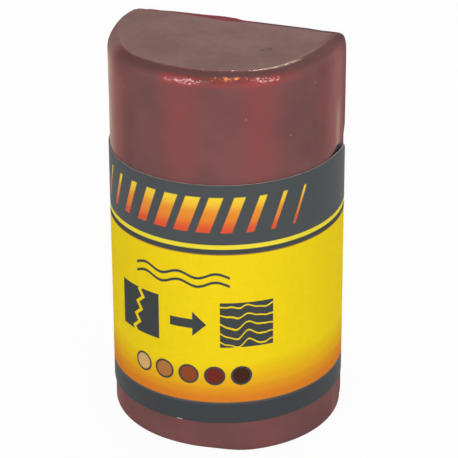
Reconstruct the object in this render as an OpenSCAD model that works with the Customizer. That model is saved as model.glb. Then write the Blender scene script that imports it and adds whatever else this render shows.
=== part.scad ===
// Furniture repair wax stick: a half-round bar of soft wax with a paper label wrapped round it.
// Sizes are in millimetres. The bar stands on its base, and the origin lies at the base
// on the axis of the round front. The round front faces -Y and the flat back faces +Y.

/* [Wax bar] */
// Width across the round front
bar_width = 25.4; // [22:0.1:32]
// Depth from the round front to the flat back
bar_depth = 17.25; // [15:0.05:20]
// Height from the base to the working end
bar_height = 44.8; // [40:0.1:60]
// Rounding of the edge round the working end
top_edge_r = 1.4; // [0.4:0.1:2]
// Rounding of the edge round the base
base_edge_r = 1; // [0.4:0.1:2]
// Rounding of the two upright corners beside the flat back
corner_r = 1.2; // [0.6:0.1:2]

/* [Label] */
// Height of the label
label_height = 28.4; // [20:0.1:32]
// Bare wax between the base and the label
label_rise = 4; // [2:0.1:7]
// Thickness of the printed paper
paper_t = 0.1; // [0.08:0.01:0.2]
// Thickness of the adhesive coat behind the paper
adhesive_t = 0.05; // [0.03:0.01:0.1]
// Radius of the paper's fold at the upright corners, inside the paper
fold_r = 0.3; // [0.2:0.05:0.6]
// Length by which the label's outer end covers its inner end
lap_length = 7; // [4:0.5:10]
// Length over which the outer end climbs onto the inner end
lap_ramp = 1; // [0.5:0.1:2]
// Place of the inner end, to the right of the middle of the back
lap_offset = 3; // [-2:0.5:6]

/* [Hidden] */
$fn = 180;

front_r = bar_width / 2;
flat_y = bar_depth - front_r;
// One ply is the paper with its adhesive.
ply_t = adhesive_t + paper_t;
// Cutting shapes run past the faces that they cut by this much.
overrun = 1;
// A corner round stands out by this much where it joins its neighbours.
relief = 0.001;

// Centre of the right-hand corner round, which touches both the round front and the flat back.
// The small relief lets the round run just past both, so that they meet in a clean line.
function corner_centre(r, flat, round) =
    [
        sqrt(pow(r - round + relief, 2) - pow(flat - round + relief, 2)),
        flat - round + relief
    ];

// Sector outside the right-hand corner centre in which the corner round takes over.
module corner_zone(r, flat, round) {
    centre = corner_centre(r, flat, round);
    front_way = centre / norm(centre);
    back_way = [0, 1];
    reach = round + overrun;
    polygon([
        centre,
        centre + reach * front_way,
        centre + reach * (front_way + back_way),
        centre + reach * back_way
    ]);
}

// What a round removes from the right-hand corner of the half-round outline.
module corner_waste(r, flat, round) {
    difference() {
        corner_zone(r, flat, round);
        translate(corner_centre(r, flat, round)) circle(round);
    }
}

// Half-round outline: a circle of radius r cut off by a flat back, with both corners rounded.
module half_round(r, flat, round) {
    difference() {
        circle(r);
        translate([-r - overrun, flat]) square([2 * (r + overrun), r + overrun]);
        corner_waste(r, flat, round);
        mirror([1, 0]) corner_waste(r, flat, round);
    }
}

// What a round removes from an edge, drawn from the round's centre.
module edge_waste(round) {
    difference() {
        square(round + overrun);
        circle(round);
    }
}

// Upright half profile of the bar out to one of its sides, with both end edges rounded.
module side_profile(reach) {
    difference() {
        square([reach, bar_height]);
        translate([reach - top_edge_r, bar_height - top_edge_r]) edge_waste(top_edge_r);
        translate([reach - base_edge_r, base_edge_r]) mirror([0, 1]) edge_waste(base_edge_r);
    }
}

// The bar with its round front and flat back, before the upright corners are rounded.
module sharp_bar() {
    intersection() {
        rotate_extrude() side_profile(front_r);
        rotate([90, 0, 90])
            linear_extrude(bar_width + 2 * overrun, center = true)
                translate([-front_r - overrun, 0]) side_profile(bar_depth + overrun);
    }
}

// The cast bar of coloured wax, with its upright corners rounded over its full height.
module wax_bar() {
    color("#7a2f2f") difference() {
        sharp_bar();
        translate([0, 0, -overrun]) linear_extrude(bar_height + 2 * overrun) {
            corner_waste(front_r, flat_y, corner_r);
            mirror([1, 0]) corner_waste(front_r, flat_y, corner_r);
        }
    }
}

// Outline of the wrap at a distance from the wax. The fold opens with that distance.
module wrap_outline(out) {
    half_round(front_r + out, flat_y + out, fold_r + out - adhesive_t);
}

// Outer end of one layer of the label: it climbs the ramp and lies on the inner end.
// The layer starts at height inner above the wax and has thickness t.
module lap_tail(inner, t) {
    ramp_x = lap_offset + lap_ramp;
    end_x = lap_offset - lap_length;
    low = flat_y + inner;
    high = low + ply_t;
    polygon([
        [ramp_x, low],
        [ramp_x, low + t],
        [lap_offset, high + t],
        [end_x, high + t],
        [end_x, high],
        [lap_offset, high]
    ]);
}

// One layer of the wrapped label, from its height above the wax: round the bar, open at the
// lap, with its outer end over its inner end.
module label_layer(inner, t) {
    translate([0, 0, label_rise]) linear_extrude(label_height) {
        difference() {
            wrap_outline(inner + t);
            wrap_outline(inner);
            translate([lap_offset, flat_y]) square([lap_ramp, ply_t + overrun]);
        }
        lap_tail(inner, t);
    }
}

// Adhesive coat on the back of the paper.
module label_adhesive() {
    color("#e8e0c8") label_layer(0, adhesive_t);
}

// Printed paper of the label.
module label_paper() {
    color("#efd116") label_layer(adhesive_t, paper_t);
}

wax_bar();
label_adhesive();
label_paper();
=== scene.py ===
"""A furniture repair wax stick: a half-round cast bar in a wrapped paper label.

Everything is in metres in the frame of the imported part. The origin lies at the base, on
the axis of the round front; the front faces -Y, the flat back +Y, and the bar stands on +Z.
"""
import logging
import math
from collections.abc import Callable, Iterator, Sequence
from contextlib import contextmanager
from dataclasses import dataclass, field
from enum import Enum

import bmesh
import bpy
from mathutils import Matrix, Vector


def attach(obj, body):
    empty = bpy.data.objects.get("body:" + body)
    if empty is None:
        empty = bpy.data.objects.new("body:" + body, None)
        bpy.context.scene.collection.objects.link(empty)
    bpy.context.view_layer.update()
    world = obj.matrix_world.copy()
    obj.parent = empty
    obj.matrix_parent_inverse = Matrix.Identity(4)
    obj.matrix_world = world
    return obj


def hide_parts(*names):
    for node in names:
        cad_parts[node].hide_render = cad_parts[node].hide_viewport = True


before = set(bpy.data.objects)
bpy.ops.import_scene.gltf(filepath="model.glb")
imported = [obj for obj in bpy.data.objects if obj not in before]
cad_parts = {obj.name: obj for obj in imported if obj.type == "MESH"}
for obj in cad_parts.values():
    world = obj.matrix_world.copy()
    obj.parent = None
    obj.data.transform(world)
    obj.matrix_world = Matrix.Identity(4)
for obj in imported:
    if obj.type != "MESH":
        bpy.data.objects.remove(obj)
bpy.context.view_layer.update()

LOG = logging.getLogger("wax_stick")

MM = 0.001
TOUCH = 2e-6
PHOTO_SIDE = 458

Shade = tuple[float, float, float, float]
Socket = bpy.types.NodeSocket
Feed = bpy.types.NodeSocket | float | Shade


class Element(Enum):
    """The kinds of mesh element that a selection may hold."""

    VERTEX = "VERT"
    EDGE = "EDGE"
    FACE = "FACE"


class Hand(Enum):
    """The two back corners of the bar, by the sign of their X."""

    LEFT = -1
    RIGHT = 1


class Use(Enum):
    """What a lamp is for."""

    WASH = "lights colours and leaves no reflection"
    GLINT = "shows only where it is reflected"


def shade(red: int, green: int, blue: int) -> Shade:
    """Turn a colour as it reads on a screen into the shader's own scale.

    Args:
        red: Red from 0 to 255.
        green: Green from 0 to 255.
        blue: Blue from 0 to 255.

    Returns:
        The linear colour with full alpha.
    """

    def linear(level: int) -> float:
        """Undo the screen curve for one channel."""
        part = level / 255.0
        return part / 12.92 if part <= 0.04045 else ((part + 0.055) / 1.055) ** 2.4

    return (linear(red), linear(green), linear(blue), 1.0)


def ease(value: float, start: float, end: float) -> float:
    """Rise smoothly from 0 to 1 between two values.

    Args:
        value: The value to place.
        start: Where the rise begins.
        end: Where the rise is complete.

    Returns:
        A number from 0 to 1.
    """
    part = min(1.0, max(0.0, (value - start) / (end - start)))
    return part * part * (3.0 - 2.0 * part)


def read_table(table: Sequence[tuple[float, float]], place: float) -> float:
    """Read a smooth value from a table of places and values.

    Args:
        table: Places in rising order, each with its value.
        place: Where to read.

    Returns:
        The value there, eased between its neighbours and held at the ends.
    """
    for (start, low), (end, high) in zip(table, table[1:]):
        if place < end:
            return low + (high - low) * ease(place, start, end)
    return table[-1][1]


def clear_selection() -> None:
    """Go to object mode and leave nothing selected."""
    if bpy.context.mode != "OBJECT":
        bpy.ops.object.mode_set(mode="OBJECT")
    bpy.ops.object.select_all(action="DESELECT")


def name_new_piece(name: str) -> bpy.types.Object:
    """Name the primitive just added and put its place into its mesh.

    Args:
        name: The piece's name.

    Returns:
        The new piece, at the origin, unturned and unscaled.
    """
    piece = bpy.context.object
    piece.name = name
    piece.data.name = name
    bpy.ops.object.transform_apply(location=True, rotation=True, scale=True)
    return piece


@contextmanager
def editing(piece: bpy.types.Object) -> Iterator[None]:
    """Hold a piece in edit mode for the length of a with block.

    Args:
        piece: The piece to open.

    Yields:
        Nothing; the piece is the active one.
    """
    bpy.context.view_layer.objects.active = piece
    bpy.ops.object.mode_set(mode="EDIT")
    yield
    bpy.ops.object.mode_set(mode="OBJECT")


def pick(piece: bpy.types.Object, element: Element, test: Callable[..., bool]) -> int:
    """Select, in edit mode, only the elements that pass a test.

    Args:
        piece: The piece in edit mode.
        element: Which kind of element to select.
        test: Called with each element; true selects it.

    Returns:
        How many elements are selected.
    """
    bpy.ops.mesh.select_mode(type=element.value)
    bpy.ops.mesh.select_all(action="DESELECT")
    mesh = bmesh.from_edit_mesh(piece.data)
    pools = {Element.VERTEX: mesh.verts, Element.EDGE: mesh.edges, Element.FACE: mesh.faces}
    chosen = [item for item in pools[element] if test(item)]
    for item in chosen:
        item.select_set(True)
    mesh.select_flush_mode()
    bmesh.update_edit_mesh(piece.data)
    return len(chosen)


def weigh(piece: bpy.types.Object, name: str, rule: Callable[[Vector], float]) -> str:
    """Give a piece a vertex group with a weight from each vertex's place.

    Args:
        piece: The piece in object mode.
        name: The group's name.
        rule: Gives the weight from 0 to 1 at a point.

    Returns:
        The group's name, for a modifier.
    """
    group = piece.vertex_groups.new(name=name)
    for vertex in piece.data.vertices:
        weight = rule(vertex.co)
        if weight > 0.0:
            group.add([vertex.index], weight, "REPLACE")
    return group.name


def push(piece: bpy.types.Object, group: str, axis: str, distance: float,
         texture: bpy.types.Texture | None = None, middle: float = 0.0) -> None:
    """Move a weighted area of a piece with a Displace modifier and apply it.

    Args:
        piece: The piece to move.
        group: The vertex group that weighs the move.
        axis: X, Y, Z or NORMAL.
        distance: The move at full weight, in metres.
        texture: A texture that scales the move, if any.
        middle: The texture value that doesn't move.
    """
    clear_selection()
    bpy.context.view_layer.objects.active = piece
    modifier = piece.modifiers.new("push", "DISPLACE")
    modifier.vertex_group = group
    modifier.direction = axis
    modifier.strength = distance
    modifier.mid_level = middle
    if texture is not None:
        modifier.texture = texture
        modifier.texture_coords = "LOCAL"
    bpy.ops.object.modifier_apply(modifier=modifier.name)


def clouds(name: str, size: float, depth: int) -> bpy.types.Texture:
    """Make a soft cloud texture for a Displace modifier.

    Args:
        name: The texture's name.
        size: The size of a cloud in metres.
        depth: How many finer layers it has.

    Returns:
        The texture.
    """
    texture = bpy.data.textures.new(name, "CLOUDS")
    texture.noise_scale = size
    texture.noise_depth = depth
    return texture


def smooth(piece: bpy.types.Object, angle: float) -> None:
    """Shade a piece smooth, with edges sharper than an angle kept crisp.

    Args:
        piece: The piece to shade.
        angle: The angle in degrees.
    """
    clear_selection()
    piece.select_set(True)
    bpy.context.view_layer.objects.active = piece
    bpy.ops.object.shade_smooth_by_angle(angle=math.radians(angle), keep_sharp_edges=True)
    clear_selection()


class Bench:
    """Lays out and joins the nodes of one shader tree."""

    def __init__(self, tree: bpy.types.NodeTree) -> None:
        """Work on a tree."""
        self.tree = tree

    def node(self, kind: str, **settings: object) -> bpy.types.Node:
        """Add a node.

        Args:
            kind: The node's type.
            settings: Attributes to set on it.

        Returns:
            The node.
        """
        node = self.tree.nodes.new(kind)
        for key, value in settings.items():
            setattr(node, key, value)
        return node

    def feed(self, socket: Socket, value: Feed) -> None:
        """Link a socket to another, or set its value.

        Args:
            socket: The input to feed.
            value: An output socket, or a plain value.
        """
        if isinstance(value, bpy.types.NodeSocket):
            self.tree.links.new(value, socket)
        else:
            socket.default_value = value

    def math(self, operation: str, *values: Feed, clamp: bool = False) -> Socket:
        """Add a Math node.

        Args:
            operation: The node's operation.
            values: Its inputs in order.
            clamp: Whether the result is held from 0 to 1.

        Returns:
            The result.
        """
        node = self.node("ShaderNodeMath", operation=operation, use_clamp=clamp)
        for socket, value in zip(node.inputs, values):
            self.feed(socket, value)
        return node.outputs[0]

    def fade(self, value: Feed, start: Feed, end: Feed,
             low: float = 0.0, high: float = 1.0) -> Socket:
        """Add a smooth Map Range.

        Args:
            value: The value to map.
            start: Where the result is low.
            end: Where the result is high.
            low: The result at the start.
            high: The result at the end.

        Returns:
            The mapped value.
        """
        node = self.node("ShaderNodeMapRange", interpolation_type="SMOOTHSTEP")
        for name, fed in (("Value", value), ("From Min", start), ("From Max", end),
                          ("To Min", low), ("To Max", high)):
            self.feed(node.inputs[name], fed)
        return node.outputs[0]

    def mix(self, factor: Feed, first: Feed, second: Feed) -> Socket:
        """Mix two colours.

        Args:
            factor: How much of the second shows.
            first: The first colour.
            second: The second colour.

        Returns:
            The mixed colour.
        """
        node = self.node("ShaderNodeMix", data_type="RGBA", clamp_factor=True)
        for index, value in ((0, factor), (6, first), (7, second)):
            self.feed(node.inputs[index], value)
        return node.outputs[2]

    def noise(self, vector: Socket, scale: float, detail: float = 2.0,
              rough: float = 0.5) -> Socket:
        """Add a Noise texture.

        Args:
            vector: Where it is read.
            scale: Its scale.
            detail: Its layers.
            rough: How strong the finer layers are.

        Returns:
            Its value.
        """
        node = self.node("ShaderNodeTexNoise")
        self.feed(node.inputs["Vector"], vector)
        node.inputs["Scale"].default_value = scale
        node.inputs["Detail"].default_value = detail
        node.inputs["Roughness"].default_value = rough
        return node.outputs[0]

    def ramp(self, factor: Socket, stops: Sequence[tuple[float, Shade]],
             step: bool = False) -> Socket:
        """Add a Color Ramp.

        Args:
            factor: Where the ramp is read.
            stops: Places from 0 to 1 with their colours, in order.
            step: Whether each colour holds until the next.

        Returns:
            The colour.
        """
        node = self.node("ShaderNodeValToRGB")
        bar = node.color_ramp
        bar.interpolation = "CONSTANT" if step else "EASE"
        while len(bar.elements) < len(stops):
            bar.elements.new(1.0)
        for element, (place, colour) in zip(bar.elements, stops):
            element.position = place
            element.color = colour
        self.feed(node.inputs[0], factor)
        return node.outputs[0]

    def combine(self, *values: Feed) -> Socket:
        """Join up to three values into a vector."""
        node = self.node("ShaderNodeCombineXYZ")
        for socket, value in zip(node.inputs, values):
            self.feed(socket, value)
        return node.outputs[0]

    def split(self, vector: Socket) -> tuple[Socket, Socket, Socket]:
        """Part a vector into its three values."""
        node = self.node("ShaderNodeSeparateXYZ")
        self.feed(node.inputs[0], vector)
        return node.outputs[0], node.outputs[1], node.outputs[2]

    def group(self, group: bpy.types.NodeTree, **feeds: Feed) -> Socket:
        """Place a node group.

        Args:
            group: The group.
            feeds: Its inputs by name, with _ for a space.

        Returns:
            The group's first output.
        """
        node = self.node("ShaderNodeGroup", node_tree=group)
        for name, value in feeds.items():
            self.feed(node.inputs[name.replace("_", " ")], value)
        return node.outputs[0]

    def object_mm(self) -> Socket:
        """Give Object coordinates in millimetres."""
        place = self.node("ShaderNodeTexCoord").outputs["Object"]
        mapping = self.node("ShaderNodeMapping")
        mapping.inputs["Scale"].default_value = (1.0 / MM,) * 3
        self.feed(mapping.inputs["Vector"], place)
        return mapping.outputs[0]


def new_group(name: str, inputs: Sequence[tuple[str, str, float | None]],
              output: tuple[str, str]) -> tuple[bpy.types.NodeTree, Bench, dict, Socket]:
    """Start a shader node group.

    Args:
        name: The group's name.
        inputs: Name, socket type and default of each input.
        output: Name and socket type of its output.

    Returns:
        The group, a bench on it, its inputs by name, and the socket to feed.
    """
    group = bpy.data.node_groups.new(name, "ShaderNodeTree")
    for label, kind, default in inputs:
        socket = group.interface.new_socket(label, in_out="INPUT", socket_type=kind)
        if default is not None:
            socket.default_value = default
    group.interface.new_socket(output[0], in_out="OUTPUT", socket_type=output[1])
    bench = Bench(group)
    entry = bench.node("NodeGroupInput")
    leave = bench.node("NodeGroupOutput")
    fed = {label: entry.outputs[label] for label, _, _ in inputs}
    return group, bench, fed, leave.inputs[0]


def stripe_group() -> bpy.types.NodeTree:
    """Make the group that masks a stripe of a value.

    Returns:
        A group that puts out 1 within a half width of a centre and 0 outside.
    """
    group, bench, fed, leave = new_group(
        "stripe_mask",
        (("Value", "NodeSocketFloat", 0.0), ("Centre", "NodeSocketFloat", 0.0),
         ("Half width", "NodeSocketFloat", 1.0), ("Softness", "NodeSocketFloat", 0.05)),
        ("Mask", "NodeSocketFloat"))
    away = bench.math("ABSOLUTE", bench.math("SUBTRACT", fed["Value"], fed["Centre"]))
    inner = bench.math("SUBTRACT", fed["Half width"], fed["Softness"])
    outer = bench.math("ADD", fed["Half width"], fed["Softness"])
    bench.feed(leave, bench.fade(away, inner, outer, 1.0, 0.0))
    return group


def grain_group() -> bpy.types.NodeTree:
    """Make the group for the fine unevenness that wax, paper and gum share.

    Returns:
        A group that puts out a value about one half, coarse and fine mixed.
    """
    group, bench, fed, leave = new_group(
        "fine_grain",
        (("Vector", "NodeSocketVector", None), ("Fine share", "NodeSocketFloat", 0.5)),
        ("Grain", "NodeSocketFloat"))
    coarse = bench.noise(fed["Vector"], 1.1, 3.0, 0.55)
    fine = bench.noise(fed["Vector"], 7.0, 3.0, 0.6)
    share = bench.node("ShaderNodeMix", data_type="FLOAT")
    for index, value in ((0, fed["Fine share"]), (2, coarse), (3, fine)):
        bench.feed(share.inputs[index], value)
    bench.feed(leave, share.outputs[0])
    return group


def dust_group() -> bpy.types.NodeTree:
    """Make the group for the small pale specks that cling to wax and label.

    Returns:
        A group that puts out 1 on a speck and 0 off it.
    """
    group, bench, fed, leave = new_group(
        "dust_specks",
        (("Vector", "NodeSocketVector", None), ("Spacing", "NodeSocketFloat", 1.0),
         ("Size", "NodeSocketFloat", 0.1)),
        ("Specks", "NodeSocketFloat"))
    cells = bench.node("ShaderNodeTexVoronoi")
    bench.feed(cells.inputs["Vector"], fed["Vector"])
    bench.feed(cells.inputs["Scale"], bench.math("DIVIDE", 1.0, fed["Spacing"]))
    lot = bench.split(cells.outputs["Color"])[0]
    size = bench.math("MULTIPLY", fed["Size"], bench.math("POWER", lot, 3.0))
    edge = bench.math("MULTIPLY", size, 0.6)
    bench.feed(leave, bench.fade(cells.outputs["Distance"], edge, size, 1.0, 0.0))
    return group


@dataclass
class Effects:
    """The node groups that several finishes share."""

    stripe: bpy.types.NodeTree = field(default_factory=stripe_group)
    grain: bpy.types.NodeTree = field(default_factory=grain_group)
    dust: bpy.types.NodeTree = field(default_factory=dust_group)


def new_material(name: str) -> tuple[bpy.types.Material, Bench, bpy.types.Node]:
    """Start a material.

    Args:
        name: The material's name.

    Returns:
        The material, a bench on its nodes, and its Principled BSDF.
    """
    material = bpy.data.materials.new(name)
    material.use_nodes = True
    bench = Bench(material.node_tree)
    return material, bench, material.node_tree.nodes["Principled BSDF"]


def raise_bump(bench: Bench, shader: bpy.types.Node, height: Socket, depth: float,
               strength: float = 1.0) -> None:
    """Feed a shader's normal from a height.

    Args:
        bench: The material's bench.
        shader: The Principled BSDF.
        height: The height from 0 to 1.
        depth: What a height of 1 stands for, in metres.
        strength: How strongly it shows.
    """
    bump = bench.node("ShaderNodeBump")
    bump.inputs["Strength"].default_value = strength
    bump.inputs["Distance"].default_value = depth
    bench.feed(bump.inputs["Height"], height)
    bench.feed(shader.inputs["Normal"], bump.outputs[0])


@dataclass(frozen=True)
class WaxFinish:
    """Red-brown cast wax: a grey bloomed skin with a painted haze, streaks from rubbing that
    partly hold a painted glow, painted shade under the rim, painted sheen and highlights at the
    edges, and a dusty cut top.
    """

    # Grey of the bloomed skin, lightened by a painted haze that stands in for reflected white.
    bloom_and_haze: Shade = shade(121, 81, 80)
    deep: Shade = shade(111, 76, 76)
    # Painted shade: the dark band under the rim, also used at the cap's right tip and on the right
    # part of the back lip.
    brow: Shade = shade(97, 66, 66)
    # Redder tone of the streaks: wax where rubbing thinned the grey skin, and under the glints a
    # painted glow of lamp light.
    streak_red_and_glow: Shade = shade(138, 74, 73)
    # Painted glow: red of lamp light scattered in the wax around the glints.
    glow: Shade = shade(168, 58, 56)
    # Paler tone of wear at the edges, partly painted sheen: it grows where the surface is seen
    # from the side.
    worn: Shade = shade(154, 100, 95)
    # Painted sheen: pale edges at the left and right, strongest where seen from the side.
    pale: Shade = shade(190, 158, 142)
    # Redder tone at the right back edge, stronger where the surface is seen from the side.
    edge_red: Shade = shade(138, 70, 72)
    top: Shade = shade(140, 108, 104)
    top_worn: Shade = shade(129, 97, 94)
    # Painted highlight: a lighter red line along the rim's burr.
    burr: Shade = shade(134, 80, 78)
    # Painted highlight: pale outer ring of the cap, strongest at the right.
    rim_highlight: Shade = shade(160, 122, 114)
    stain: Shade = shade(98, 76, 74)
    lip: Shade = shade(134, 44, 60)
    scratch: Shade = shade(166, 66, 62)
    shadow: Shade = shade(80, 73, 75)
    speck: Shade = shade(206, 120, 80)
    arc_radius: float = 12.7
    # Streak levels round the bar; those at -3 and 35 degrees, under the glints, are partly a
    # painted glow of lamp light.
    streak_line: tuple[tuple[float, float], ...] = (
        (-164.0, 0.0), (-148.0, 0.6), (-132.0, 0.0), (-104.0, 0.0), (-90.0, 0.5), (-76.0, 0.0),
        (-58.0, 0.3), (-45.0, 0.35), (-31.0, 0.0), (-19.0, 0.0), (-3.0, 0.85), (12.0, 0.2),
        (20.0, 0.25), (35.0, 0.9), (52.0, 0.0), (64.0, 0.0), (74.0, 0.3), (84.0, 0.0),
        (112.0, 0.0), (128.0, 0.5), (144.0, 0.0))
    # Where round the bar the painted glow near the glints shows.
    glow_line: tuple[tuple[float, float], ...] = (
        (-18.0, 0.0), (-10.5, 0.6), (2.0, 0.7), (9.0, 0.3), (16.0, 0.5), (24.0, 0.3),
        (32.0, 0.65), (43.0, 0.65), (49.0, 0.25), (54.0, 0.35), (60.0, 0.0))
    dusty_line: tuple[tuple[float, float], ...] = (
        (-125.0, 0.0), (-108.0, 1.0), (-70.0, 1.0), (-57.0, 0.0))
    brim_line: tuple[tuple[float, float], ...] = (
        (-125.0, 0.0), (-108.0, 1.0), (-58.0, 1.0), (-46.0, 0.0))
    # Where round the bar the painted shade band under the rim shows.
    shade_band_line: tuple[tuple[float, float], ...] = (
        (-55.0, 0.0), (-37.0, 0.85), (44.0, 0.9), (56.0, 0.75), (100.0, 0.7), (125.0, 0.0))
    shade_band_rise: tuple[tuple[float, float], ...] = ((40.0, 0.0), (66.0, 1.0))
    # Wear with painted sheen, by angle round the bar.
    worn_and_sheen_angles: tuple[tuple[float, float, float], ...] = (
        (-120.0, 9.0, 0.4), (-49.0, 7.5, 0.7), (158.0, 9.0, 0.3))
    shoulder_wear_and_sheen_angles: tuple[tuple[float, float, float], ...] = (
        (-55.0, 5.5, 0.5), (88.0, 8.5, 0.95))
    left_sheen_angles: tuple[tuple[float, float, float], ...] = (
        (-63.0, 8.5, 1.0),)
    right_sheen_angles: tuple[tuple[float, float, float], ...] = ((89.0, 2.6, 0.5),)
    edge_red_angles: tuple[tuple[float, float, float], ...] = ((104.0, 3.0, 0.8),)
    burr_line: tuple[tuple[float, float], ...] = (
        (-56.0, 0.0), (-38.0, 1.0), (44.0, 1.0), (62.0, 0.2))
    # Where round the cap the painted rim highlight shows.
    rim_line: tuple[tuple[float, float], ...] = (
        (-62.0, 0.0), (-48.0, 0.3), (-14.0, 0.3), (2.0, 0.1), (40.0, 0.0), (62.0, 0.7),
        (95.0, 0.8), (112.0, 0.0))
    stains: tuple[tuple[tuple[float, float], float, float], ...] = (
        ((5.9, -3.4), 0.6, 0.55), ((5.4, -3.9), 0.4, 0.4), ((2.9, -4.6), 0.45, 0.25))
    spots: tuple[tuple[float, float, float], ...] = (
        (51.1, 37.3, 0.1), (28.4, 39.8, 0.08), (-38.0, 41.2, 0.07), (66.0, 42.3, 0.07))
    scratch_lines: tuple[tuple[float, float, float], ...] = (
        (40.05, -4.8, 3.2), (40.6, -5.6, 1.6))
    gap_rise: tuple[float, float] = (0.0854, 25.77)
    gap_fall: tuple[float, float] = (-0.0857, 41.02)
    streak_fade: float = 3.0
    # Heights where the painted glow near the glints rises and falls.
    glow_rise: tuple[float, float] = (43.1, 43.65)
    glow_fall: tuple[float, float] = (44.05, 44.4)
    # Heights of the painted shade band under the rim; its foot rises towards the right.
    shade_band_foot: float = 43.55
    shade_band_lift: float = 0.35
    shade_band_head: float = 44.4
    burr_span: tuple[float, float] = (44.6, 44.66)
    dusty_span: tuple[float, float] = (42.6, 43.7)
    brim_span: tuple[float, float] = (44.1, 44.5)
    lip_depth: tuple[float, float] = (3.1, 3.35)
    lip_span: tuple[float, float] = (43.7, 44.3)
    # Where the cap's right tip takes the painted shade tone.
    tip_span: tuple[float, float] = (10.3, 11.3)
    tip_level: float = 0.65
    gloss_angles: tuple[float, float, float, float] = (-26.0, -10.0, 50.0, 66.0)
    middle_angles: tuple[float, float, float, float] = (16.0, 20.0, 21.0, 25.0)
    middle_level: float = 0.55
    gloss_rise: tuple[float, float] = (43.3, 43.6)
    gloss_fall: tuple[float, float] = (44.3, 44.4)
    rim_span: tuple[float, float] = (44.58, 44.64)

    def streaks(self, bench: Bench, around: Socket,
                angles: tuple[tuple[float, float, float], ...]) -> Socket:
        """Mask upright streaks round the bar.

        Args:
            bench: The material's bench.
            around: The angle round the bar, 0 to 1 from back to back.
            angles: The angle, half width and level of each streak, in degrees.

        Returns:
            The mask.
        """
        line: list[tuple[float, float]] = []
        for angle, width, level in angles:
            line += [(angle - 2.0 * width, 0.0), (angle, level), (angle + 2.0 * width, 0.0)]
        return self.profile(bench, around, line)

    def profile(self, bench: Bench, around: Socket,
                line: Sequence[tuple[float, float]]) -> Socket:
        """Mask by the angle round the bar.

        Args:
            bench: The material's bench.
            around: The angle round the bar, 0 to 1 from back to back.
            line: Angles in degrees, in order, each with its level.

        Returns:
            The mask, smooth between the angles.
        """
        return bench.ramp(around, [((angle + 180.0) / 360.0, (level, level, level, 1.0))
                                   for angle, level in line])

    def side(self, bench: Bench, around: Socket, z: Socket, broad: Socket, fleck: Socket,
             grazing: Socket) -> Socket:
        """Colour the cast sides, with painted shade, glow, sheen and highlights among the tones.
            around: The angle round the bar, 0 to 1 from back to back.
            z: The height in millimetres.
            broad: A broad, soft noise.
            fleck: A fine grain.
            grazing: How far the surface is seen from the side.

        Returns:
            The colour.
        """
        # Streaks of redder wax, partly where rubbing thinned the grey skin and partly a painted
        # glow under the glints.
        angle_mask = bench.math("MULTIPLY", self.profile(bench, around, self.streak_line),
                            bench.fade(fleck, 0.3, 0.7, 0.65, 1.1))
        angle_mask = bench.math("MULTIPLY", angle_mask, bench.fade(z, 30.0, 36.0, 0.3, 1.0))
        near_top = bench.math("MULTIPLY", bench.fade(z, *self.glow_rise),
                              bench.fade(z, *self.glow_fall, 1.0, 0.0))
        colour = bench.mix(bench.fade(broad, 0.35, 0.68), self.bloom_and_haze, self.deep)
        colour = bench.mix(angle_mask, colour, self.streak_red_and_glow)
        # Edge tones that grow where the surface is seen from the side: painted sheen, and in the
        # worn tone partly wear too.
        above = bench.fade(z, 20.0, 32.0, 0.15, 1.0)
        for angles, tone, end, least in ((self.worn_and_sheen_angles, self.worn, 44.2, 0.5),
                                         (self.shoulder_wear_and_sheen_angles, self.worn, 45.8, 0.5),
                                         (self.left_sheen_angles, self.pale, 45.2, 0.1),
                                         (self.right_sheen_angles, self.pale, 39.5, 0.1),
                                         (self.edge_red_angles, self.edge_red, 43.2, 0.6)):
            mask = bench.math("MULTIPLY", self.streaks(bench, around, angles), above)
            mask = bench.math("MULTIPLY", mask,
                              bench.fade(z, end - self.streak_fade, end, 1.0, 0.0))
            mask = bench.math("MULTIPLY", mask, bench.fade(grazing, 0.2, 0.55, least, 1.0))
            colour = bench.mix(mask, colour, tone)
        # Painted shade: a dark band under the rim.
        foot = bench.math("MULTIPLY_ADD", self.profile(bench, around, self.shade_band_rise),
                          self.shade_band_lift, self.shade_band_foot)
        brow = bench.math("MULTIPLY", self.profile(bench, around, self.shade_band_line),
                          bench.fade(z, foot, self.shade_band_head))
        colour = bench.mix(brow, colour, self.brow)
        # Painted glow: red lamp light scattered in the wax round the glints.
        glow = bench.math("MULTIPLY", self.profile(bench, around, self.glow_line), near_top)
        colour = bench.mix(bench.math("MULTIPLY", glow, bench.fade(fleck, 0.35, 0.6, 0.6, 1.0)),
                           colour, self.glow)
        # Painted highlight: a lighter red line on the burr along the rim.
        burr = bench.math("MULTIPLY", bench.fade(z, *self.burr_span),
                          bench.fade(fleck, 0.38, 0.6, 0.35, 1.0))
        burr = bench.math("MULTIPLY", burr, self.profile(bench, around, self.burr_line))
        colour = bench.mix(burr, colour, self.burr)
        along = bench.math("MULTIPLY", bench.math("SUBTRACT", around, 0.5),
                           2.0 * math.pi * self.arc_radius)
        for angle, height, size in self.spots:
            away = bench.node("ShaderNodeVectorMath", operation="DISTANCE")
            bench.feed(away.inputs[0], bench.combine(along, z))
            away.inputs[1].default_value = (math.radians(angle) * self.arc_radius, height, 0.0)
            spot = bench.fade(away.outputs["Value"], 0.6 * size, 1.4 * size, 1.0, 0.0)
            colour = bench.mix(bench.math("MULTIPLY", spot, 0.8), colour, self.speck)
        return colour

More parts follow.
